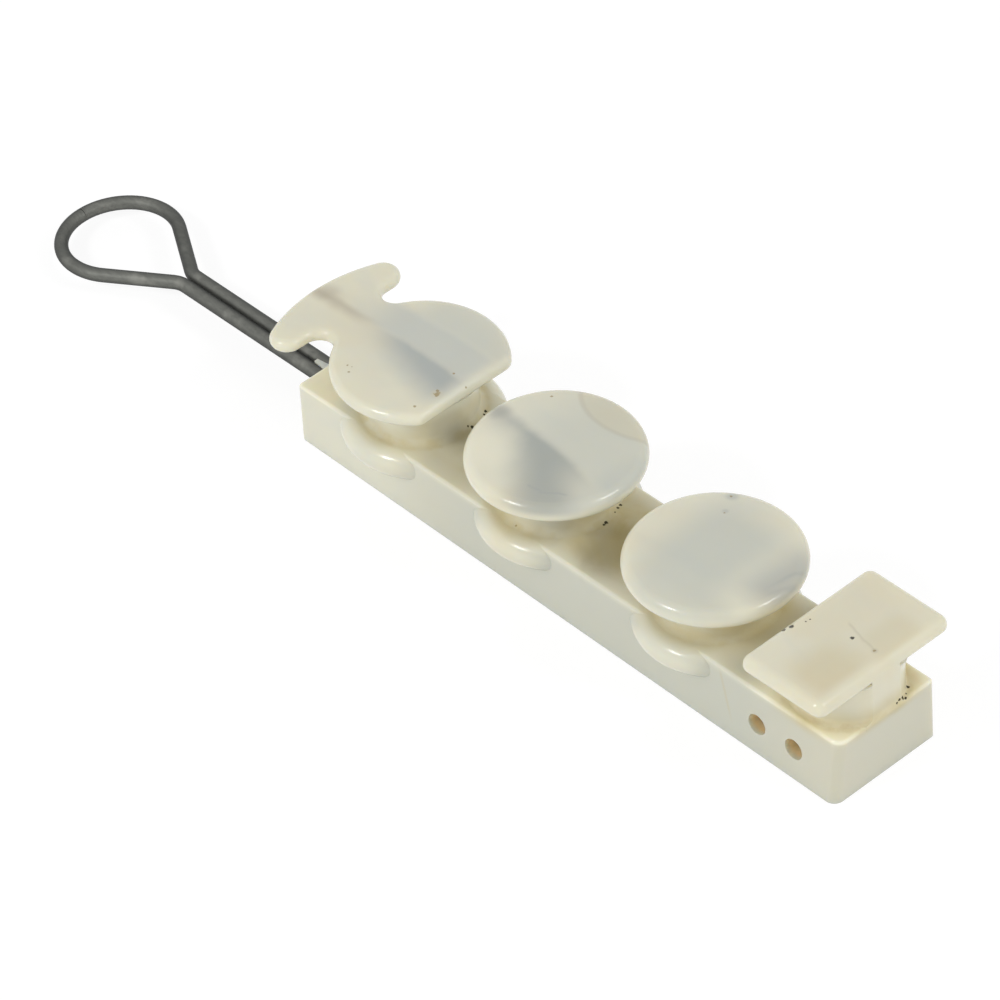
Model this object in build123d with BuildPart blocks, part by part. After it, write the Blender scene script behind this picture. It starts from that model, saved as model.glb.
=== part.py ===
from build123d import *
import math
import os

# Drop cable clamp: a moulded bar with three cable posts, a T post and a wire bail.
# X runs along the bar from the bail to the T post, Y across it, Z up.
# The origin is the middle of the bar's flat underside.
# The bar is deeper at the T end and flares at its foot there, so its top climbs a little towards that end.
# It is built with the top level and laid on its underside at the end.

# Bar
bar_length = 119.0
bar_width = 20.0
bar_height = 11.5
end_deepening = 1.1
end_flare = 0.75
end_lean = 0.6
top_edge_radius = 0.5
bottom_edge_radius = 0.2
upright_edge_radius = 0.6
worn_corner_radius = 1.8

# Places of the posts along the bar
head_post_inset = 18.3
head_to_middle_pitch = 30.5
middle_to_last_pitch = 34.5
t_post_inset = 8.3

# Posts, each a spool of flange, stem and cap
stem_diameter = 18.0
stem_fillet = 1.2
channel_height = 6.5
flange_diameter = 26.6
flange_thickness = 5.0
cap_diameter = 28.6
cap_rim_thickness = 3.5
cap_dome_radius = 90.0

# Head cap, with a flat front, a neck and a two-horned crescent behind it
head_diameter = 28.5
head_channel_height = 7.7
head_rim_thickness = 2.4
head_rim_land = 0.1
head_flat_offset = 10.6
head_corner_radius = 2.2
head_dome_radius = 100.0
head_dome_reach = 10.0
head_blend_reach = 6.0
notch_radius = 2.4
notch_bearing = 149.5
crescent_radius = 27.8
crescent_reach = 24.6
horn_radius = 2.85

# T post
t_stem_diameter = 17.6
t_stem_fillet = 0.5
t_channel_height = 7.4
t_cap_length = 16.9
t_cap_width = 28.0
t_cap_thickness = 2.7
t_cap_corner_radius = 1.75
t_cap_top_radius = 1.7
t_cap_under_radius = 0.9

# Cross holes
hole_diameter = 3.6
hole_inset = 9.38
hole_pitch = 7.7
hole_height = 4.88

# Wire bail
wire_diameter = 2.35
leg_gap = 0.32
leg_height = 4.9
loop_diameter = 19.5
loop_reach = 64.5
loop_droop = 2.9
leg_splay = 32.0
leg_bend_radius = 4.0
leg_embed = 20.0
anchor_splay = 50.0
anchor_bend_radius = 3.0
anchor_length = 3.0

# Tongue of plastic that lies in the valley between the legs
tongue_length = 7.2
tongue_tip_radius = 0.35
tongue_base_width = 2.6
tongue_floor_rise = 0.45
tongue_top_rise = 1.1

# Distance that cuts and hidden roots run past the surface they cross
overrun = 1.0

# Levels and places worked out from the sizes above
bar_end = bar_length / 2
head_x = head_post_inset - bar_end
middle_x = head_x + head_to_middle_pitch
last_x = middle_x + middle_to_last_pitch
t_post_x = bar_end - t_post_inset
stem_radius = stem_diameter / 2
flange_radius = flange_diameter / 2
flange_rim = flange_thickness / 2
flange_bottom = bar_height - flange_thickness
cap_radius = cap_diameter / 2
cap_rim = cap_rim_thickness / 2
cap_under = bar_height + channel_height
head_radius = head_diameter / 2
head_under = bar_height + head_channel_height
head_rim_top = head_under + head_rim_thickness
head_edge_radius = (head_rim_thickness - head_rim_land) / 2
under_head = head_under - overrun
t_under = bar_height + t_channel_height
t_stem_root = bar_height - overrun
t_stem_radius = t_stem_diameter / 2
t_foot_radius = t_stem_radius + t_stem_fillet
wire_radius = wire_diameter / 2
leg_offset = wire_radius + leg_gap / 2


def polar(centre, radius, degrees):
    """Point at a distance and an angle from a centre, in the sketch plane."""
    turn = math.radians(degrees)
    return (centre[0] + radius * math.cos(turn), centre[1] + radius * math.sin(turn))


def stem_outline(radius, corner, top):
    """Side of a stem from the bar up to its cap, with a small fillet at its foot and its head."""
    low = bar_height + corner
    high = top - corner
    RadiusArc((radius + corner, bar_height), (radius, low), corner)
    Line((radius, low), (radius, high))
    RadiusArc((radius, high), (radius + corner, top), corner)


def spool_outline(top):
    """Right side of a post from the axis under the flange, round its lip and up the stem."""
    lip_start = flange_radius - flange_rim
    lip_height = flange_bottom + flange_rim
    Line((0, flange_bottom), (lip_start, flange_bottom))
    ThreePointArc((lip_start, flange_bottom), (flange_radius, lip_height), (lip_start, bar_height))
    Line((lip_start, bar_height), (stem_radius + stem_fillet, bar_height))
    stem_outline(stem_radius, stem_fillet, top)


# Bar, from the bail end to the T end, with its foot cut by the plane of the underside
slope = math.atan2(end_deepening, bar_length - end_lean)
underside = Plane(origin=(-end_lean / 2, 0, -end_deepening / 2), x_dir=(math.cos(slope), 0, -math.sin(slope)),
                  z_dir=(math.sin(slope), 0, math.cos(slope)))
end_face = Plane(origin=(bar_end, 0, bar_height), x_dir=(0, 1, 0),
                 z_dir=(bar_height + end_deepening, 0, -end_lean))
end_height = math.hypot(end_lean, bar_height + end_deepening)
foot_depth = end_height + overrun
foot_half = bar_width / 2 + end_flare * foot_depth / end_height

with BuildPart() as bar:
    with BuildSketch(Plane.YZ.offset(-bar_end)):
        with Locations((0, (bar_height - overrun) / 2)):
            Rectangle(bar_width, bar_height + overrun)
    with BuildSketch(end_face):
        with BuildLine():
            Polyline((-bar_width / 2, 0), (bar_width / 2, 0), (foot_half, -foot_depth),
                     (-foot_half, -foot_depth), close=True)
        make_face()
    loft(ruled=True)
    split(bisect_by=underside, keep=Keep.TOP)
    uprights = bar.edges().filter_by(lambda edge: edge.bounding_box().size.Z > bar_height / 2)
    worn_corner = uprights.sort_by(Axis.X)[-2:].sort_by(Axis.Y)[0]
    fillet([edge for edge in uprights if edge is not worn_corner], upright_edge_radius)
    uprights = bar.edges().filter_by(lambda edge: edge.bounding_box().size.Z > bar_height / 2)
    fillet(uprights.sort_by(Axis.X)[-2:].sort_by(Axis.Y)[0], worn_corner_radius)
    fillet(bar.faces().sort_by(Axis.Z)[-1].edges(), top_edge_radius)
    fillet(bar.faces().sort_by(Axis.Z)[0].edges(), bottom_edge_radius)

# Round cap: the dome meets the rim without a crease
dome_drop = cap_dome_radius - math.sqrt((cap_dome_radius - cap_rim) ** 2 - (cap_radius - cap_rim) ** 2)
cap_top = cap_under + cap_rim + dome_drop
dome_turn = math.degrees(math.asin((cap_radius - cap_rim) / (cap_dome_radius - cap_rim)))
rim_centre = (cap_radius - cap_rim, cap_under + cap_rim)
rim_end = polar(rim_centre, cap_rim, 90 - dome_turn)

with BuildPart() as round_post:
    with BuildSketch(Plane.XZ):
        with BuildLine():
            spool_outline(cap_under)
            Line((stem_radius + stem_fillet, cap_under), (cap_radius - cap_rim, cap_under))
            ThreePointArc((cap_radius - cap_rim, cap_under), polar(rim_centre, cap_rim, 0), rim_end)
            RadiusArc(rim_end, (0, cap_top), -cap_dome_radius)
            Line((0, cap_top), (0, flange_bottom))
        make_face()
    revolve(axis=Axis.Z)

# Outline of the head cap, one half from the flat front round to the crescent's middle
front_half = math.sqrt(head_radius ** 2 - head_flat_offset ** 2)
front_corner = (head_flat_offset, front_half)
front_bearing = math.degrees(math.atan2(front_half, head_flat_offset))
disc_side = polar((0, 0), head_radius, (front_bearing + notch_bearing) / 2)
disc_end = polar((0, 0), head_radius, notch_bearing)
notch_centre = polar((0, 0), head_radius + notch_radius, notch_bearing)
notch_middle = polar(notch_centre, -notch_radius, notch_bearing / 2)
notch_end = polar(notch_centre, -notch_radius, 0)
crescent_centre = (crescent_radius - crescent_reach, 0)
horn_x = notch_end[0] - horn_radius
horn_lead = crescent_centre[0] - horn_x
horn_spread = math.sqrt((crescent_radius - horn_radius) ** 2 - horn_lead ** 2)
horn_centre = (horn_x, horn_spread)
horn_bearing = math.degrees(math.atan2(horn_spread, -horn_lead))
horn_start = polar(horn_centre, horn_radius, 0)
horn_middle = polar(horn_centre, horn_radius, horn_bearing / 2)
horn_end = polar(horn_centre, horn_radius, horn_bearing)

blend_radius = head_dome_radius * head_blend_reach / head_dome_reach
dome_edge_drop = head_dome_radius - math.sqrt(head_dome_radius ** 2 - head_dome_reach ** 2)
blend_drop = blend_radius - math.sqrt(blend_radius ** 2 - head_blend_reach ** 2)
head_top = head_rim_top + dome_edge_drop + blend_drop
blend_start = (head_dome_reach, head_rim_top + blend_drop)
blend_end = (head_dome_reach + head_blend_reach, head_rim_top)

with BuildPart() as head_cap:
    with BuildSketch(Plane.XY.offset(head_under)):
        with BuildLine():
            Line((head_flat_offset, 0), front_corner)
            ThreePointArc(front_corner, disc_side, disc_end)
            ThreePointArc(disc_end, notch_middle, notch_end)
            Line(notch_end, horn_start)
            ThreePointArc(horn_start, horn_middle, horn_end)
            RadiusArc(horn_end, (-crescent_reach, 0), -crescent_radius)
            mirror(about=Plane.XZ)
        make_face()
        fillet(vertices().sort_by(Axis.X)[-2:], head_corner_radius)
    extrude(amount=head_top - head_under + overrun)
    with BuildSketch(Plane.XZ):
        with BuildLine():
            RadiusArc((0, head_top), blend_start, head_dome_radius)
            RadiusArc(blend_start, blend_end, -blend_radius)
            Polyline(blend_end, (crescent_radius, head_rim_top), (crescent_radius, under_head), (0, under_head))
            Line((0, under_head), (0, head_top))
        make_face()
    revolve(axis=Axis.Z, mode=Mode.INTERSECT)
    walls = faces().filter_by(lambda face: face.bounding_box().size.Z > head_edge_radius)
    fillet(walls.edges().filter_by(lambda edge: edge.bounding_box().size.Z < head_edge_radius), head_edge_radius)

with BuildPart() as head_spool:
    with BuildSketch(Plane.XZ):
        with BuildLine():
            spool_outline(head_under)
            Line((stem_radius + stem_fillet, head_under), (0, head_under))
            Line((0, head_under), (0, flange_bottom))
        make_face()
    revolve(axis=Axis.Z)

# T post: a stem like the others, cut flush with the end of the bar, under a rounded block
with BuildPart() as t_stem:
    with BuildSketch(Plane.XZ):
        with BuildLine():
            stem_outline(t_stem_radius, t_stem_fillet, t_under)
            Polyline((t_foot_radius, t_under), (0, t_under), (0, t_stem_root), (t_foot_radius, t_stem_root))
            Line((t_foot_radius, t_stem_root), (t_foot_radius, bar_height))
        make_face()
    revolve(axis=Axis.Z)
    split(bisect_by=Plane.YZ.offset(t_post_inset), keep=Keep.BOTTOM)

with BuildPart() as t_cap:
    with BuildSketch(Plane.XY.offset(t_under)):
        Rectangle(t_cap_length, t_cap_width)
        fillet(vertices(), t_cap_corner_radius)
    extrude(amount=t_cap_thickness)
    fillet(faces().sort_by(Axis.Z)[-1].edges(), t_cap_top_radius)
    fillet(faces().sort_by(Axis.Z)[0].edges(), t_cap_under_radius)

# Land that carries the flush cut of the stem up over the rounded lower edge of the block
land_width = 2 * math.sqrt(t_stem_radius ** 2 - t_post_inset ** 2)
with BuildPart() as t_land:
    with BuildSketch(Plane.XY.offset(t_under - overrun)):
        with Locations((t_post_inset - t_cap_under_radius / 2, 0)):
            Rectangle(t_cap_under_radius, land_width)
    extrude(amount=overrun + t_cap_under_radius)

# Route of the wire, from the anchor of one leg round the loop to the anchor of the other
splay = math.radians(leg_splay)
droop = math.radians(loop_droop)
loop_radius = loop_diameter / 2
loop_x = -bar_end - loop_reach + loop_radius
side_drop = loop_radius * math.cos(splay) - leg_offset
bend_share = math.tan(splay / 2)
kink_x = loop_x + loop_radius * math.sin(splay) + side_drop / math.tan(splay)
side_length = side_drop / math.sin(splay) - leg_bend_radius * bend_share
leg_start_x = kink_x + leg_bend_radius * bend_share
leg_end_x = -bar_end + leg_embed
anchor_start = (leg_end_x + anchor_bend_radius * math.sin(math.radians(anchor_splay)) +
                anchor_length * math.cos(math.radians(anchor_splay)))
anchor_side = (leg_offset + anchor_bend_radius * (1 - math.cos(math.radians(anchor_splay))) +
               anchor_length * math.sin(math.radians(anchor_splay)))
loop_plane = Plane(origin=(leg_start_x, 0, leg_height), x_dir=(math.cos(droop), 0, math.sin(droop)),
                   z_dir=(-math.sin(droop), 0, math.cos(droop)))

with BuildPart() as bail:
    with BuildLine(Plane.XY.offset(leg_height)):
        anchor = PolarLine((anchor_start, anchor_side), anchor_length, angle=180 + anchor_splay)
        anchor_bend = JernArc(anchor @ 1, anchor % 1, anchor_bend_radius, -anchor_splay)
        Line(anchor_bend @ 1, (leg_start_x, leg_offset))
    with BuildLine(loop_plane):
        kink = JernArc((0, leg_offset), loop_plane.x_dir * -1, leg_bend_radius, -leg_splay)
        side = PolarLine(kink @ 1, side_length, direction=kink % 1)
        JernArc(side @ 1, side % 1, loop_radius, 90 + leg_splay)
    with BuildSketch(Plane(origin=anchor @ 0, z_dir=anchor % 0)):
        Circle(wire_radius)
    sweep()
    mirror(about=Plane.XZ)

# Tongue of plastic on the end of the bar
tongue_floor = leg_height + tongue_floor_rise
tongue_root_x = overrun - bar_end
tongue_tip_x = -bar_end - tongue_length

with BuildPart() as tongue:
    with BuildSketch(Plane.XY.offset(tongue_floor)):
        with BuildLine():
            Polyline((tongue_root_x, tongue_base_width / 2), (-bar_end, tongue_base_width / 2),
                     (tongue_tip_x, tongue_tip_radius), (tongue_tip_x, 0), (tongue_root_x, 0), close=True)
        make_face()
        mirror(about=Plane.XZ)
    extrude(amount=tongue_top_rise - tongue_floor_rise)

# Whole moulding, with the cross holes and the room that the wire takes
hole_x = bar_end - hole_inset
t_cap_x = bar_end - t_cap_length / 2

with BuildPart() as body:
    add(bar)
    with Locations((middle_x, 0), (last_x, 0)):
        add(round_post)
    with Locations((head_x, 0)):
        add(head_spool)
        add(head_cap)
    with Locations((t_post_x, 0)):
        add(t_stem)
        add(t_land)
    with Locations((t_cap_x, 0)):
        add(t_cap)
    add(tongue)
    with BuildSketch(Plane.XZ):
        with Locations((hole_x, hole_height), (hole_x - hole_pitch, hole_height)):
            Circle(hole_diameter / 2)
    extrude(amount=bar_width, both=True, mode=Mode.SUBTRACT)
    add(bail, mode=Mode.SUBTRACT)

# Both pieces laid on the underside of the bar
with BuildPart() as clamp_body:
    with Locations(underside.location.inverse()):
        add(body)

with BuildPart() as wire_bail:
    with Locations(underside.location.inverse()):
        add(bail)

clamp_body.part.label = "clamp_body"
wire_bail.part.label = "wire_bail"
os.makedirs("parts", exist_ok=True)
export_step(clamp_body.part, "parts/clamp_body.step")
export_step(wire_bail.part, "parts/wire_bail.step")
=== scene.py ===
import math

import bpy
from mathutils import Matrix, Vector


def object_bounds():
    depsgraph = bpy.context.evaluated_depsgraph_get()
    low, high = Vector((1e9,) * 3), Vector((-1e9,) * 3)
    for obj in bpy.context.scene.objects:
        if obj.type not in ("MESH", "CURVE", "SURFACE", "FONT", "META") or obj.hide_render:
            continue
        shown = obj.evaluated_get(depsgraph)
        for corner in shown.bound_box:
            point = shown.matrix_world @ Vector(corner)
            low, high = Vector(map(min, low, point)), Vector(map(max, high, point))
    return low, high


# Drop cable clamp: aged ivory plastic with dirt and painted shade round its posts, and a dull steel wire
# bail.
# Lengths in this script are millimetres, turned into metres by mm where Blender needs them.
mm = 0.001

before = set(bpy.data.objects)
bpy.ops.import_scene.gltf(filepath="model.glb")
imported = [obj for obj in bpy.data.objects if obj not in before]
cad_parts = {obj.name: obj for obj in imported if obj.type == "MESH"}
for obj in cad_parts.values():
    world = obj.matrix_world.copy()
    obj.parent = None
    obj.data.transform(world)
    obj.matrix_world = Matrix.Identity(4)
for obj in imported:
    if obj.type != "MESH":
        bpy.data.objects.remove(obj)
cad_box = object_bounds()
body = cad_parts["clamp_body"]
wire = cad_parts["wire_bail"]

# The part's top climbs a little towards the T end. The places below are in the frame of that top,
# which is the CAD frame turned by this slope and moved by this shift.
end_deepening = 1.1
foot_length = 118.4
top_slope = math.atan2(end_deepening, foot_length)
top_shift = (-0.3, 0.0, -0.55)

# Places on the part that the materials follow
bar_half_length = 59.5
bar_half_width = 10.0
bar_top = 11.5
cap_under = 18.0
post_places = (-41.2, -10.7, 23.8, 51.2)

# The dirt and painted shade at the posts' feet are measured outward from these radii: the T post's is
# its stem's, the others lie 0.2 outside their stems
foot_radii = (9.2, 9.2, 9.2, 8.8)

# Cross holes
hole_places = (50.12, 42.42)
hole_height = 4.88
hole_radius = 1.8

# Camera, fitted to the outlines in the photograph
camera_azimuth = 48.642
camera_elevation = 42.126
camera_roll = -3.251
camera_distance = 1060.791
camera_slide = (-16.741, 13.021)
camera_reach = (10.0, 20000.0)
focal_pixels = 6880.495
image_pixels = 1000.0
sensor_width = 36.0

# Light from the surroundings at the horizon and straight above
horizon_light = 1.38
zenith_light = 0.22

# Lamps: name, azimuth from -Y towards +X, elevation, size and power
lamp_distance = 900.0
lamps = (
    ("key", -14.0, 42.0, (190.0, 160.0), 2.0),
    ("side", 115.0, 45.0, (260.0, 170.0), 1.5),
)

# Floor
floor_half = 3000.0
floor_grey = (0.85, 0.85, 0.85, 1.0)
floor_glow = 1.15
floor_glow_share = 0.72


def linear(red, green, blue):
    """Shader colour for a colour given as it looks on a screen, 0 to 255."""
    shares = [value / 255 for value in (red, green, blue)]
    return tuple(s / 12.92 if s <= 0.04045 else ((s + 0.055) / 1.055) ** 2.4 for s in shares) + (1.0,)


# Colours of the plastic, its dirt, the painted shade and painted light on it, and the wire
ivory = linear(221, 219, 200)
cool_ivory = linear(209, 211, 199)
warm_ivory = linear(219, 210, 180)
pale_cream = linear(232, 229, 208)
# Painted light: lifts the bar's top at the bail end and the T end out of its shade
end_painted_light = linear(242, 237, 212)
# Painted shade: greys the bar's sides and the T end face below the top
side_shade_grey = linear(197, 198, 184)
core_grey = linear(150, 158, 162)
wedge_grey = linear(156, 161, 157)
band_grey = linear(184, 189, 185)
pale_grey = linear(195, 198, 188)
# Grey of the caps' flow streaks, also used as painted shade on the stems under the caps
streak_and_shade_grey = linear(164, 167, 164)
veil_grey = linear(152, 151, 143)
veil_brown = linear(176, 167, 146)
honey = linear(206, 194, 156)
tan = linear(199, 186, 143)
# Painted shade: brown shade low down between the posts
painted_shade_brown = linear(150, 139, 104)
# Painted light inside the cross holes
hole_glow = linear(234, 212, 160)
speck_brown = linear(150, 130, 80)
speck_black = linear(34, 29, 20)
# Painted shade towards the wire's outline
wire_edge_shade = linear(46, 48, 45)
wire_grey = linear(102, 103, 98)
wire_light = linear(122, 123, 117)
wire_worn = linear(152, 152, 145)

# Noises of the plastic and of the wire; the scale is features per millimetre
grey_clouds = {"scale": 0.045, "detail": 2.0, "stretch": (1.0, 1.6, 1.0), "warp": 1.2}
cream_clouds = {"scale": 0.06, "detail": 2.0, "shift": (40.0, 3.0, 7.0), "warp": 0.6}
flow = {"scale": 0.14, "warp": 0.4}
dirt_patches = {"scale": 0.12, "detail": 4.0, "warp": 0.8}
dirt_grain = {"scale": 0.5}
speck_edges = {"scale": 2.2, "detail": 2.0}
haze = {"scale": 0.3, "detail": 4.0}
swell = {"scale": 0.11, "detail": 2.0, "shift": (5.0, 9.0, 2.0)}
wire_streaks = {"scale": 1.8, "detail": 4.0, "stretch": (0.3, 1.0, 1.0), "warp": 0.3}
wire_patches = {"scale": 0.35, "shift": (8.0, 1.0, 4.0)}
wire_grain = {"scale": 3.0, "stretch": (0.4, 1.0, 1.0)}

# Ranges of those noises in which each sets in
cloud_range = (0.4, 0.75)
patch_range = (0.25, 0.75)
grain_range = (0.3, 0.7)
haze_range = (0.3, 0.75)
streak_range = (0.3, 0.7)
worn_range = (0.5, 0.75)

# Strengths of the tints over the ivory, painted shade and painted light among them
grey_cloud_share = 0.6
cream_cloud_share = 0.5
side_shade_share = 0.9
t_warmth_share = 0.28
end_light_share = 0.85
bloom_share = 0.28
bloom_outline_share = 0.24
side_line_share = 0.32
hole_light_share = 0.8
brown_speck_share = 0.7
black_speck_share = 0.92

# Zones of the tints: nothing at the first place, full at the second
# Painted shade on the bar's sides: along, down and across
side_shade_along = (-48.0, -18.0)
side_shade_down = (bar_top + 0.3, bar_top - 1.5)
side_shade_across = (bar_half_width + 2.8, bar_half_width + 0.5)
t_warmth_along = (38.0, 56.0)
# Painted light on the bar's top at the bail end and the T end: along and by height
bail_end_along = (-49.0, -54.0)
t_end_along = (38.0, 44.0)
end_light_up = (bar_top - 0.8, bar_top - 0.2)
end_light_down = (bar_top + 1.6, bar_top + 0.4)
caps_up = (cap_under + 1.4, cap_under + 2.8)
hole_inward = (bar_half_width + 0.3, bar_half_width - 0.9)
hole_rim = (hole_radius + 0.35, hole_radius + 0.05)

# Zones of the dirt and of the painted shade in it, in the same way; the inward ones are distances from the
# foot radii
top_dirt_up = (bar_top - 0.9, bar_top - 0.1)
top_dirt_down = (cap_under, cap_under - 3.0)
top_dirt_across = (bar_half_width - 0.2, bar_half_width - 5.0)
top_dirt_inboard = (bar_half_length + 1.0, bar_half_length - 5.0)
top_dirt_from_bail = (-52.0, -42.0)
top_dirt_to_t = (38.0, 31.0)
# Painted shade: the top's dirt grows heavier along this zone
top_shade_heavier = (-16.0, 4.0)
foot_dirt_inward = (3.6, 0.2)
foot_dirt_down = (bar_top + 4.5, bar_top + 0.2)
foot_dirt_up = (bar_top - 2.2, bar_top - 0.4)
# Painted shade: the feet's dirt grows heavier along this zone
foot_shade_heavier = (-24.0, -12.0)
crease_inward = (2.4, 0.8)
crease_down = (bar_top + 2.0, bar_top + 0.3)
crease_up = (bar_top - 1.2, bar_top - 0.3)

# Amounts of the dirt and of the painted shade in it: least and most; the heavy ones are painted shade
top_dirt_ends_amounts = (0.1, 1.0)
top_shade_heavy_amounts = (0.85, 1.65)
top_dirt_patch_amounts = (0.3, 0.7)
foot_dirt_patch_amounts = (0.35, 0.8)
foot_shade_heavy_amounts = (0.9, 1.25)
crease_grain_amounts = (0.45, 0.75)

# Yellowish line down the bar's near side: place at the top, lean, and the zones of its ends and width
side_line_place = 34.3
side_line_lean = 0.3
side_line_up = (1.5, 5.0)
side_line_down = (bar_top, bar_top - 2.0)
side_line_across = (0.45, 0.05)
side_line_face = (-9.7, -9.9)

# Gloss and depth of the plastic. The roughness keeps to a narrow range, because a wider one gave
# small pale blotches on the caps. The dirt is dulled through its specular level instead.
plastic_roughness = (0.19, 0.23)
plastic_specular = 0.5
dirt_dulling = 0.7
subsurface_share = 0.5
subsurface_radii = (1.0, 0.8, 0.5)
subsurface_scale = 4.0
swell_strength = 0.35
swell_height = 0.25

# Surface of the wire
wire_metal_share = 0.6
wire_roughness = (0.45, 0.65)
wire_streak_share = 0.5
wire_worn_share = 0.5
# Painted shade towards the wire's outline: its blend and the range of facing in which it sets in
wire_shade_blend = 0.5
wire_shade_range = (0.08, 0.8)
wire_grain_strength = 0.25
wire_grain_height = 0.06

# Marks in the plastic of the caps. Each lies between two places along X, with the lengths over which
# it fades there, and on the right of each of its edges: place, bearing in degrees, width of the blur.
# Then tint and strength.
cap_marks = (
    ((-57.0, 14.0), (-30.0, 4.0), ((-50.0, 0.4, 0.5, 1.8), (-43.5, -3.2, 166.0, 7.0)), core_grey, 0.7),
    ((-62.0, 14.0), (-29.5, 4.0), ((-40.0, 7.1, 2.0, 2.4), (-50.0, 0.4, 180.5, 1.8)), band_grey, 0.62),
    ((-52.0, 6.0), (-29.5, 3.0), ((-40.0, 14.0, 0.0, 9.0), (-40.0, 7.1, 182.0, 2.2)), pale_grey, 0.65),
    ((-70.0, 5.0), (-50.0, 8.0), ((-60.0, 0.7, 3.0, 1.4), (-60.0, -0.9, 183.0, 2.6)), veil_brown, 0.6),
    ((-67.0, 2.0), (-58.0, 6.0), ((-60.0, 2.2, 10.0, 3.2), (-60.0, 0.2, 190.0, 3.2)), veil_brown, 0.4),
    ((-26.5, 3.0), (5.0, 14.0), ((-20.0, 0.2, -6.0, 2.6), (-13.0, -6.6, 148.0, 8.5)), wedge_grey, 0.84),
    ((-12.0, 9.0), (6.0, 8.0), ((0.0, -6.6, -8.0, 5.0), (0.0, -20.0, 180.0, 1.0)), wedge_grey, 0.55),
    ((-24.0, 14.0), (4.0, 0.5), ((-10.0, 14.0, 0.0, 3.0), (-20.0, 0.2, 174.0, 2.2)), pale_grey, 0.6),
    ((-2.0, 4.0), (4.0, 0.5), ((0.0, 8.5, 0.0, 6.0), (0.0, -12.0, 180.0, 5.0)), band_grey, 0.35),
    ((-5.0, 0.6), (-0.8, 1.0), ((-3.7, -8.1, 33.0, 0.4), (-3.7, -8.4, 213.0, 0.4)), streak_and_shade_grey, 0.6),
    ((-7.5, 0.6), (-4.2, 1.0), ((-5.5, -8.6, 12.0, 0.5), (-5.5, -8.95, 192.0, 0.5)), streak_and_shade_grey, 0.5),
    ((12.0, 9.0), (36.0, 9.0), ((20.0, 9.0, 0.0, 8.0), (20.0, -9.0, 180.0, 8.0)), pale_grey, 0.8),
    ((30.0, 6.0), (39.0, 0.5), ((30.0, 11.0, -12.0, 5.0), (36.0, -3.0, 190.0, 5.0)), streak_and_shade_grey, 0.62),
    ((35.0, 1.0), (39.0, 0.5), ((36.0, 3.6, -101.0, 0.9), (35.5, 3.6, 79.0, 0.9)), streak_and_shade_grey, 0.5),
    ((36.0, 1.0), (39.0, 0.5), ((37.4, 2.0, -106.0, 0.9), (36.9, 2.0, 74.0, 0.9)), streak_and_shade_grey, 0.45),
    ((14.0, 8.0), (41.0, 7.0), ((24.0, -7.5, 0.0, 4.0), (24.0, -20.0, 180.0, 1.0)), pale_grey, 0.55),
    ((49.0, 1.2), (57.0, 1.0), ((53.0, 1.65, -13.8, 0.4), (53.0, 1.25, 166.2, 0.5)), veil_brown, 0.28),
    ((47.0, 6.0), (58.5, 2.0), ((52.0, -2.0, 0.0, 6.0), (52.0, -11.5, 180.0, 4.0)), honey, 0.55),
    ((51.0, 4.0), (59.0, 1.0), ((52.0, 9.0, 0.0, 4.0), (52.0, 1.5, 166.0, 3.0)), honey, 0.35),
)
flow_waver = 0.8

# Round yellow bloom by the middle cap's rim, with a faint outline
bloom_centre = (-8.8, 19.2)
bloom_radius = 11.3
bloom_edge = (bloom_radius + 0.5, bloom_radius - 0.6)
bloom_outline = (0.7, 0.1)
bloom_waver_share = 0.3

# Soft round spots: place, radius, tint and strength
soft_spots = (
    ((-22.9, -0.2, 21.3), 2.8, veil_grey, 0.5),
    ((-17.5, -7.0, 21.8), 7.0, pale_cream, 0.6),
    ((-32.6, -4.5, 21.9), 1.5, honey, 0.45),
    ((17.0, 10.4, 21.3), 1.6, streak_and_shade_grey, 0.5),
    ((19.0, 7.0, 21.7), 0.9, streak_and_shade_grey, 0.45),
    ((56.5, 0.7, 21.6), 0.8, veil_brown, 0.4),
    ((-63.0, 1.0, 21.0), 2.6, veil_brown, 0.3),
)
spot_core_share = 0.2
spot_waver_share = 0.5

# Painted shade, as soft spots in the same way, low down between the posts and on the stems under the caps
shade_spots = (
    ((4.0, -2.5, 11.5), 8.0, painted_shade_brown, 0.6),
    ((-30.5, -1.2, 11.5), 4.5, painted_shade_brown, 0.35),
    ((-4.5, -7.0, 14.8), 5.5, streak_and_shade_grey, 0.45),
    ((-33.5, -3.0, 14.5), 4.5, streak_and_shade_grey, 0.35),
)

# Specks of dirt: place and radius
black_specks = (
    (43.4, -5.2, 21.35, 0.5), (43.8, -3.9, 21.54, 0.5), (44.7, -1.8, 21.57, 0.2),
    (44.8, -1.0, 21.56, 0.18), (52.2, 0.4, 21.58, 0.4), (58.0, 6.0, 11.6, 0.38),
    (59.2, 3.6, 11.9, 0.45), (59.4, 4.1, 11.5, 0.32), (59.5, 2.7, 12.2, 0.35),
    (59.5, 2.2, 11.9, 0.25), (58.8, 4.8, 11.6, 0.22), (-31.8, 1.7, 11.7, 0.36),
    (-32.1, 1.1, 12.1, 0.25), (-33.1, 5.8, 11.55, 0.36), (-32.7, 5.1, 11.6, 0.3),
    (-0.8, 0.6, 11.55, 0.36), (-0.7, 0.1, 11.6, 0.28), (-2.1, 5.0, 11.55, 0.3),
    (-1.9, 4.2, 11.57, 0.26), (-1.5, 3.2, 11.6, 0.16),
)
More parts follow.
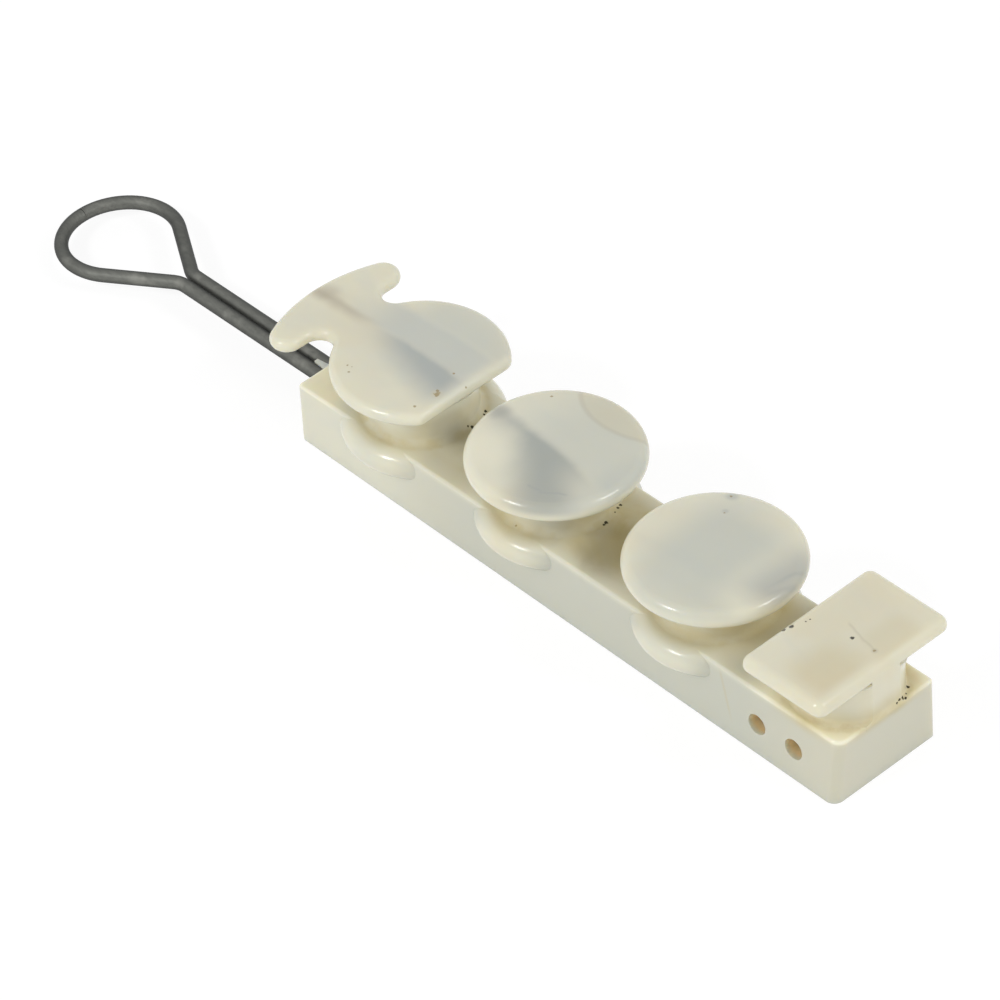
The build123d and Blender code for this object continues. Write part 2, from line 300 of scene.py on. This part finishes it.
brown_specks = (
    (-32.5, -4.5, 21.95, 0.6), (-33.0, -3.9, 21.95, 0.34), (-33.1, -8.6, 21.8, 0.32),
    (-46.5, -10.1, 21.8, 0.26), (-47.8, -9.2, 21.8, 0.2), (-47.0, -9.0, 21.85, 0.16),
    (-34.0, 0.5, 22.1, 0.24), (-43.9, -13.4, 21.2, 0.22), (-19.5, 7.6, 21.6, 0.3),
    (-1.8, -7.6, 21.9, 0.2), (19.2, 6.6, 22.1, 0.26), (16.9, 10.3, 21.4, 0.3),
    (-45.7, -10.0, 4.4, 0.3), (56.5, 0.7, 21.6, 0.28), (-10.2, -9.5, 11.7, 0.26),
    (-30.8, 0.1, 21.4, 0.24),
)
speck_core_share = 0.55
speck_ragged_share = 0.8


class Shader:
    """One material's node tree, with short calls for the nodes that the materials use."""

    def __init__(self, name):
        self.material = bpy.data.materials.new(name)
        self.material.use_nodes = True
        self.nodes = self.material.node_tree.nodes
        self.links = self.material.node_tree.links
        self.surface = self.nodes["Principled BSDF"]
        place = self.nodes.new("ShaderNodeTexCoord").outputs["Object"]
        scaled = self.nodes.new("ShaderNodeVectorMath")
        scaled.operation = "SCALE"
        scaled.inputs["Scale"].default_value = 1 / mm
        self.links.new(place, scaled.inputs[0])
        level = self.nodes.new("ShaderNodeMapping")
        level.inputs["Rotation"].default_value = (0.0, top_slope, 0.0)
        level.inputs["Location"].default_value = top_shift
        self.links.new(scaled.outputs["Vector"], level.inputs["Vector"])
        self.place = level.outputs["Vector"]
        parts = self.nodes.new("ShaderNodeSeparateXYZ")
        self.links.new(self.place, parts.inputs[0])
        self.x, self.y, self.z = parts.outputs

    def put(self, socket, value):
        if isinstance(value, bpy.types.NodeSocket):
            self.links.new(value, socket)
        else:
            socket.default_value = value

    def math(self, operation, first, second=0.0, clamp=False):
        node = self.nodes.new("ShaderNodeMath")
        node.operation = operation
        node.use_clamp = clamp
        self.put(node.inputs[0], first)
        self.put(node.inputs[1], second)
        return node.outputs[0]

    def plus(self, first, second):
        return self.math("ADD", first, second)

    def minus(self, first, second):
        return self.math("SUBTRACT", first, second)

    def size(self, value):
        """Value without its sign."""
        return self.math("ABSOLUTE", value)

    def times(self, *values):
        total = values[0]
        for value in values[1:]:
            total = self.math("MULTIPLY", total, value)
        return total

    def most(self, *values):
        total = values[0]
        for value in values[1:]:
            total = self.math("MAXIMUM", total, value)
        return total

    def span(self, value, at_nothing, at_full):
        """Runs from one number to another while the value runs from 0 to 1."""
        return self.plus(self.times(value, at_full - at_nothing), at_nothing)

    def rise(self, value, low, high):
        """0 below low, 1 above high, smooth between; with low above high it falls instead."""
        node = self.nodes.new("ShaderNodeMapRange")
        node.interpolation_type = "SMOOTHSTEP"
        self.put(node.inputs["Value"], value)
        if low < high:
            limits = (low, high, 0.0, 1.0)
        else:
            limits = (high, low, 1.0, 0.0)
        for name, limit in zip(("From Min", "From Max", "To Min", "To Max"), limits):
            node.inputs[name].default_value = limit
        return node.outputs["Result"]

    def noise(self, scale, detail=3.0, stretch=(1.0, 1.0, 1.0), shift=(0.0, 0.0, 0.0), warp=0.0):
        """Smooth noise, 0 to 1; scale is features per millimetre."""
        mapping = self.nodes.new("ShaderNodeMapping")
        mapping.inputs["Scale"].default_value = stretch
        mapping.inputs["Location"].default_value = shift
        self.links.new(self.place, mapping.inputs["Vector"])
        node = self.nodes.new("ShaderNodeTexNoise")
        node.inputs["Scale"].default_value = scale
        node.inputs["Detail"].default_value = detail
        node.inputs["Distortion"].default_value = warp
        self.links.new(mapping.outputs[0], node.inputs["Vector"])
        return node.outputs["Fac"]

    def mix(self, factor, first, second):
        """Mix of two colours; a colour mix node has its colours at inputs 6 and 7 and output 2."""
        node = self.nodes.new("ShaderNodeMix")
        node.data_type = "RGBA"
        self.put(node.inputs["Factor"], factor)
        self.put(node.inputs[6], first)
        self.put(node.inputs[7], second)
        return node.outputs[2]

    def from_line(self, first, first_place, second, second_place):
        """Distance, in the plane of two coordinates, from a line square to that plane."""
        along = self.minus(first, first_place)
        across = self.minus(second, second_place)
        return self.math("SQRT", self.plus(self.times(along, along), self.times(across, across)))

    def from_axis(self, centre_x, centre_y=0.0):
        """Distance from an upright line."""
        return self.from_line(self.x, centre_x, self.y, centre_y)

    def from_place(self, place):
        node = self.nodes.new("ShaderNodeVectorMath")
        node.operation = "DISTANCE"
        self.links.new(self.place, node.inputs[0])
        node.inputs[1].default_value = place
        return node.outputs["Value"]

    def bump(self, height, strength, distance):
        node = self.nodes.new("ShaderNodeBump")
        node.inputs["Strength"].default_value = strength
        node.inputs["Distance"].default_value = distance * mm
        self.links.new(height, node.inputs["Height"])
        return node.outputs["Normal"]


def cloudy_ivory(s):
    """Moulded ivory with faint clouds, warmer at the T end; painted shade greys the bar's sides, and painted
    light lifts the bar's top at the bail end and the T end.
    """
    grey = s.rise(s.noise(**grey_clouds), *cloud_range)
    cream = s.rise(s.noise(**cream_clouds), *cloud_range)
    colour = s.mix(s.times(grey, grey_cloud_share), ivory, cool_ivory)
    colour = s.mix(s.times(cream, cream_cloud_share), colour, warm_ivory)
    # Painted shade on the bar's sides and the T end face below the top
    sides = s.times(
        s.rise(s.z, *side_shade_down),
        s.rise(s.x, *side_shade_along),
        s.rise(s.size(s.y), *side_shade_across),
        side_shade_share,
    )
    colour = s.mix(sides, colour, side_shade_grey)
    colour = s.mix(s.times(s.rise(s.x, *t_warmth_along), t_warmth_share), colour, warm_ivory)
    # Painted light on the bar's top at the bail end and the T end
    lit_ends = s.times(
        s.most(s.rise(s.x, *bail_end_along), s.rise(s.x, *t_end_along)),
        s.rise(s.z, *end_light_up),
        s.rise(s.z, *end_light_down),
        end_light_share,
    )
    return s.mix(lit_ends, colour, end_painted_light)


def flow_wave(s):
    """Slow waver that keeps the marks' edges from looking drawn."""
    return s.span(s.noise(**flow), -flow_waver, flow_waver)


def soft_marks(s, colour, spots):
    """Tints round listed places, strongest in the middle, with wavering edges."""
    wave = flow_wave(s)
    for place, radius, tint, share in spots:
        away = s.plus(s.from_place(place), s.times(wave, radius * spot_waver_share))
        colour = s.mix(s.times(s.rise(away, radius, radius * spot_core_share), share), colour, tint)
    return colour


def right_of_edge(s, wave, edge):
    """1 on the right of an edge that runs through a place on a bearing, 0 on its left."""
    x, y, degrees, blur = edge
    bearing = math.radians(degrees)
    over = s.times(s.minus(s.x, x), math.sin(bearing))
    down = s.times(s.minus(s.y, y), math.cos(bearing))
    waver = s.times(wave, math.copysign(1.0, math.cos(bearing)))
    return s.rise(s.plus(s.minus(over, down), waver), -blur / 2, blur / 2)


def cap_marbling(s, colour):
    """Flow marks and veils on the caps, and a yellow bloom by the middle cap's rim."""
    on_caps = s.rise(s.z, *caps_up)
    wave = flow_wave(s)
    for (start, fade_in), (end, fade_out), edges, tint, share in cap_marks:
        mark = s.times(s.rise(s.x, start, start + fade_in), s.rise(s.x, end, end - fade_out), on_caps, share)
        for edge in edges:
            mark = s.times(mark, right_of_edge(s, wave, edge))
        colour = s.mix(mark, colour, tint)
    from_bloom = s.from_axis(*bloom_centre)
    colour = s.mix(s.times(s.rise(from_bloom, *bloom_edge), on_caps, bloom_share), colour, honey)
    from_outline = s.size(s.minus(from_bloom, s.plus(s.times(wave, bloom_waver_share), bloom_radius)))
    outline = s.times(s.rise(from_outline, *bloom_outline), on_caps, bloom_outline_share)
    return soft_marks(s, s.mix(outline, colour, veil_brown), soft_spots)


def side_line(s):
    """Thin yellowish line down the bar's near side, short of the cross holes."""
    lean = s.times(s.minus(bar_top, s.z), side_line_lean)
    away = s.size(s.minus(s.minus(s.x, side_line_place), lean))
    length = s.times(s.rise(s.z, *side_line_up), s.rise(s.z, *side_line_down))
    return s.times(s.rise(away, *side_line_across), length, s.rise(s.y, *side_line_face))


def dirt_and_shade_share(s):
    """How much yellow-brown dirt and painted shade lie on each spot: most at the posts' feet, then over the
    bar's top, with painted shade making it heavier from the middle post on.
    """
    patches = s.rise(s.noise(**dirt_patches), *patch_range)
    grain = s.rise(s.noise(**dirt_grain), *grain_range)
    between_ends = s.times(s.rise(s.x, *top_dirt_from_bail), s.rise(s.x, *top_dirt_to_t))
    total = s.times(
        s.rise(s.z, *top_dirt_up),
        s.rise(s.z, *top_dirt_down),
        s.rise(s.size(s.y), *top_dirt_across),
        s.rise(s.size(s.x), *top_dirt_inboard),
        s.span(between_ends, *top_dirt_ends_amounts),
        # Painted shade: heavier from the middle post towards the T end
        s.span(s.rise(s.x, *top_shade_heavier), *top_shade_heavy_amounts),
        s.span(patches, *top_dirt_patch_amounts),
    )
    for place, radius in zip(post_places, foot_radii):
        from_foot = s.minus(s.from_axis(place), radius)
        dirt = s.times(
            s.rise(from_foot, *foot_dirt_inward),
            s.rise(s.z, *foot_dirt_down),
            s.rise(s.z, *foot_dirt_up),
            s.span(patches, *foot_dirt_patch_amounts),
            # Painted shade: heavier at the feet of the middle, third and T posts
            s.span(s.rise(s.x, *foot_shade_heavier), *foot_shade_heavy_amounts),
        )
        crease = s.times(
            s.rise(from_foot, *crease_inward),
            s.rise(s.z, *crease_down),
            s.rise(s.z, *crease_up),
            s.span(grain, *crease_grain_amounts),
        )
        total = s.most(total, dirt, crease)
    return total


def hole_light(s):
    """Painted light inside the cross holes, in a light warm brown."""
    inside = [s.rise(s.from_line(s.x, place, s.z, hole_height), *hole_rim) for place in hole_places]
    return s.times(s.most(*inside), s.rise(s.size(s.y), *hole_inward))


def speck_share(s, specks):
    """Small spots of dirt with ragged edges at listed places."""
    ragged = s.span(s.noise(**speck_edges), -speck_ragged_share, speck_ragged_share)
    spots = []
    for x, y, z, radius in specks:
        away = s.plus(s.from_place((x, y, z)), s.times(ragged, radius))
        spots.append(s.rise(away, radius, radius * speck_core_share))
    return s.most(*spots)


def ivory_plastic():
    """Glossy moulded plastic with flow marks, yellowed and dirty in its hollows, with painted shade in them
    and between the posts, and painted light on the bar's top at each end and in the cross holes.
    """
    s = Shader("ivory_plastic")
    colour = cap_marbling(s, cloudy_ivory(s))
    dirt_and_shade = dirt_and_shade_share(s)
    # Dirt with painted shade in it, then painted shade in soft spots low down between the posts and under
    # the caps
    colour = soft_marks(s, s.mix(dirt_and_shade, colour, tan), shade_spots)
    colour = s.mix(s.times(side_line(s), side_line_share), colour, tan)
    # Painted light inside the cross holes
    colour = s.mix(s.times(hole_light(s), hole_light_share), colour, hole_glow)
    colour = s.mix(s.times(speck_share(s, brown_specks), brown_speck_share), colour, speck_brown)
    colour = s.mix(s.times(speck_share(s, black_specks), black_speck_share), colour, speck_black)
    s.put(s.surface.inputs["Base Color"], colour)
    hazy = s.rise(s.noise(**haze), *haze_range)
    s.put(s.surface.inputs["Roughness"], s.span(hazy, *plastic_roughness))
    shine = s.math("SUBTRACT", plastic_specular, s.times(dirt_and_shade, dirt_dulling), clamp=True)
    s.put(s.surface.inputs["Specular IOR Level"], shine)
    s.surface.inputs["Subsurface Weight"].default_value = subsurface_share
    s.surface.inputs["Subsurface Radius"].default_value = subsurface_radii
    s.surface.inputs["Subsurface Scale"].default_value = subsurface_scale * mm
    s.put(s.surface.inputs["Normal"], s.bump(s.noise(**swell), swell_strength, swell_height))
    return s.material


def steel_wire():
    """Dull dark steel with drawn streaks, worn spots and painted shade darkening it towards its outline."""
    s = Shader("steel_wire")
    streaks = s.times(s.rise(s.noise(**wire_streaks), *streak_range), wire_streak_share)
    patches = s.noise(**wire_patches)
    colour = s.mix(streaks, wire_grey, wire_light)
    colour = s.mix(s.times(s.rise(patches, *worn_range), wire_worn_share), colour, wire_worn)
    edges = s.nodes.new("ShaderNodeLayerWeight")
    edges.inputs["Blend"].default_value = wire_shade_blend
    # Painted shade towards the wire's outline, as seen from the camera
    colour = s.mix(s.rise(edges.outputs["Facing"], *wire_shade_range), colour, wire_edge_shade)
    s.put(s.surface.inputs["Base Color"], colour)
    s.surface.inputs["Metallic"].default_value = wire_metal_share
    s.put(s.surface.inputs["Roughness"], s.span(patches, *wire_roughness))
    s.put(s.surface.inputs["Normal"], s.bump(s.noise(**wire_grain), wire_grain_strength, wire_grain_height))
    return s.material


def finish_node(piece, material):
    """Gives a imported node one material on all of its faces."""
    piece.data.materials.clear()
    piece.data.materials.append(material)


def either(tree, first, second):
    """The larger of two sockets in a tree of the stage."""
    node = tree.nodes.new("ShaderNodeMath")
    node.operation = "MAXIMUM"
    tree.links.new(first, node.inputs[0])
    tree.links.new(second, node.inputs[1])
    return node.outputs[0]


def studio_floor():
    """White floor that keeps a faint shadow."""
    half = floor_half * mm
    low = cad_box[0][2]
    corners = [(-half, -half, low), (half, -half, low), (half, half, low), (-half, half, low)]
    mesh = bpy.data.meshes.new("floor")
    mesh.from_pydata(corners, [], [(0, 1, 2, 3)])
    floor = bpy.data.objects.new("floor", mesh)
    bpy.context.scene.collection.objects.link(floor)
    material = bpy.data.materials.new("floor_white")
    material.use_nodes = True
    tree = material.node_tree
    tree.nodes.remove(tree.nodes["Principled BSDF"])
    matt = tree.nodes.new("ShaderNodeBsdfDiffuse")
    matt.inputs["Color"].default_value = floor_grey
    glow = tree.nodes.new("ShaderNodeEmission")
    glow.inputs["Strength"].default_value = floor_glow
    path = tree.nodes.new("ShaderNodeLightPath").outputs
    share = tree.nodes.new("ShaderNodeMath")
    share.operation = "MULTIPLY"
    share.inputs[1].default_value = floor_glow_share
    tree.links.new(either(tree, path["Is Camera Ray"], path["Is Glossy Ray"]), share.inputs[0])
    blend = tree.nodes.new("ShaderNodeMixShader")
    tree.links.new(share.outputs[0], blend.inputs["Fac"])
    tree.links.new(matt.outputs[0], blend.inputs[1])
    tree.links.new(glow.outputs[0], blend.inputs[2])
    tree.links.new(blend.outputs[0], tree.nodes["Material Output"].inputs["Surface"])
    floor.data.materials.append(material)


def studio_world():
    """Pale surroundings: white where they are seen or mirrored; as light, weaker towards the zenith."""
    world = bpy.data.worlds.new("studio")
    bpy.context.scene.world = world
    world.use_nodes = True
    tree = world.node_tree
    background = tree.nodes["Background"]
    background.inputs["Color"].default_value = (1.0, 1.0, 1.0, 1.0)
    path = tree.nodes.new("ShaderNodeLightPath").outputs
    seen = either(tree, path["Is Camera Ray"], path["Is Glossy Ray"])
    seen = either(tree, seen, path["Is Transmission Ray"])
    sky = tree.nodes.new("ShaderNodeSeparateXYZ")
    tree.links.new(tree.nodes.new("ShaderNodeTexCoord").outputs["Generated"], sky.inputs[0])
    height = tree.nodes.new("ShaderNodeMapRange")
    height.inputs["To Min"].default_value = horizon_light
    height.inputs["To Max"].default_value = zenith_light
    tree.links.new(sky.outputs["Z"], height.inputs["Value"])
    level = tree.nodes.new("ShaderNodeMix")
    tree.links.new(seen, level.inputs["Factor"])
    tree.links.new(height.outputs["Result"], level.inputs["A"])
    level.inputs["B"].default_value = 1.0
    tree.links.new(level.outputs["Result"], background.inputs["Strength"])


def towards(azimuth, elevation):
    """Unit vector; azimuth turns from -Y towards +X, both in degrees."""
    turn, rise = math.radians(azimuth), math.radians(elevation)
    return Vector((math.sin(turn) * math.cos(rise), -math.cos(turn) * math.cos(rise), math.sin(rise)))


def lamp(name, azimuth, elevation, size, power):
    """Soft rectangular lamp that points at the origin."""
    back = towards(azimuth, elevation)
    data = bpy.data.lights.new(name, "AREA")
    data.shape = "RECTANGLE"
    data.size, data.size_y = (side * mm for side in size)
    data.energy = power
    light = bpy.data.objects.new(name, data)
    light.location = back * lamp_distance * mm
    light.rotation_euler = back.to_track_quat("Z", "Y").to_euler()
    bpy.context.scene.collection.objects.link(light)


def photo_camera():
    """Camera at the photograph's angle, with its roll and framing."""
    back = towards(camera_azimuth, camera_elevation)
    turn, roll = math.radians(camera_azimuth), math.radians(camera_roll)
    level = Vector((math.cos(turn), math.sin(turn), 0.0))
    upright = back.cross(level)
    right = level * math.cos(roll) + upright * math.sin(roll)
    up = upright * math.cos(roll) - level * math.sin(roll)
    data = bpy.data.cameras.new("photo_camera")
    data.sensor_width = sensor_width
    data.lens = focal_pixels / image_pixels * sensor_width
    data.clip_start, data.clip_end = (reach * mm for reach in camera_reach)
    camera = bpy.data.objects.new("photo_camera", data)
    spot = (back * camera_distance + right * camera_slide[0] + up * camera_slide[1]) * mm
    camera.matrix_world = Matrix.Translation(spot) @ Matrix((right, up, back)).transposed().to_4x4()
    bpy.context.scene.collection.objects.link(camera)
    bpy.context.scene.camera = camera


finish_node(body, ivory_plastic())
finish_node(wire, steel_wire())
studio_floor()
studio_world()
for settings in lamps:
    lamp(*settings)
photo_camera()
bpy.context.scene.view_settings.view_transform = "Standard"
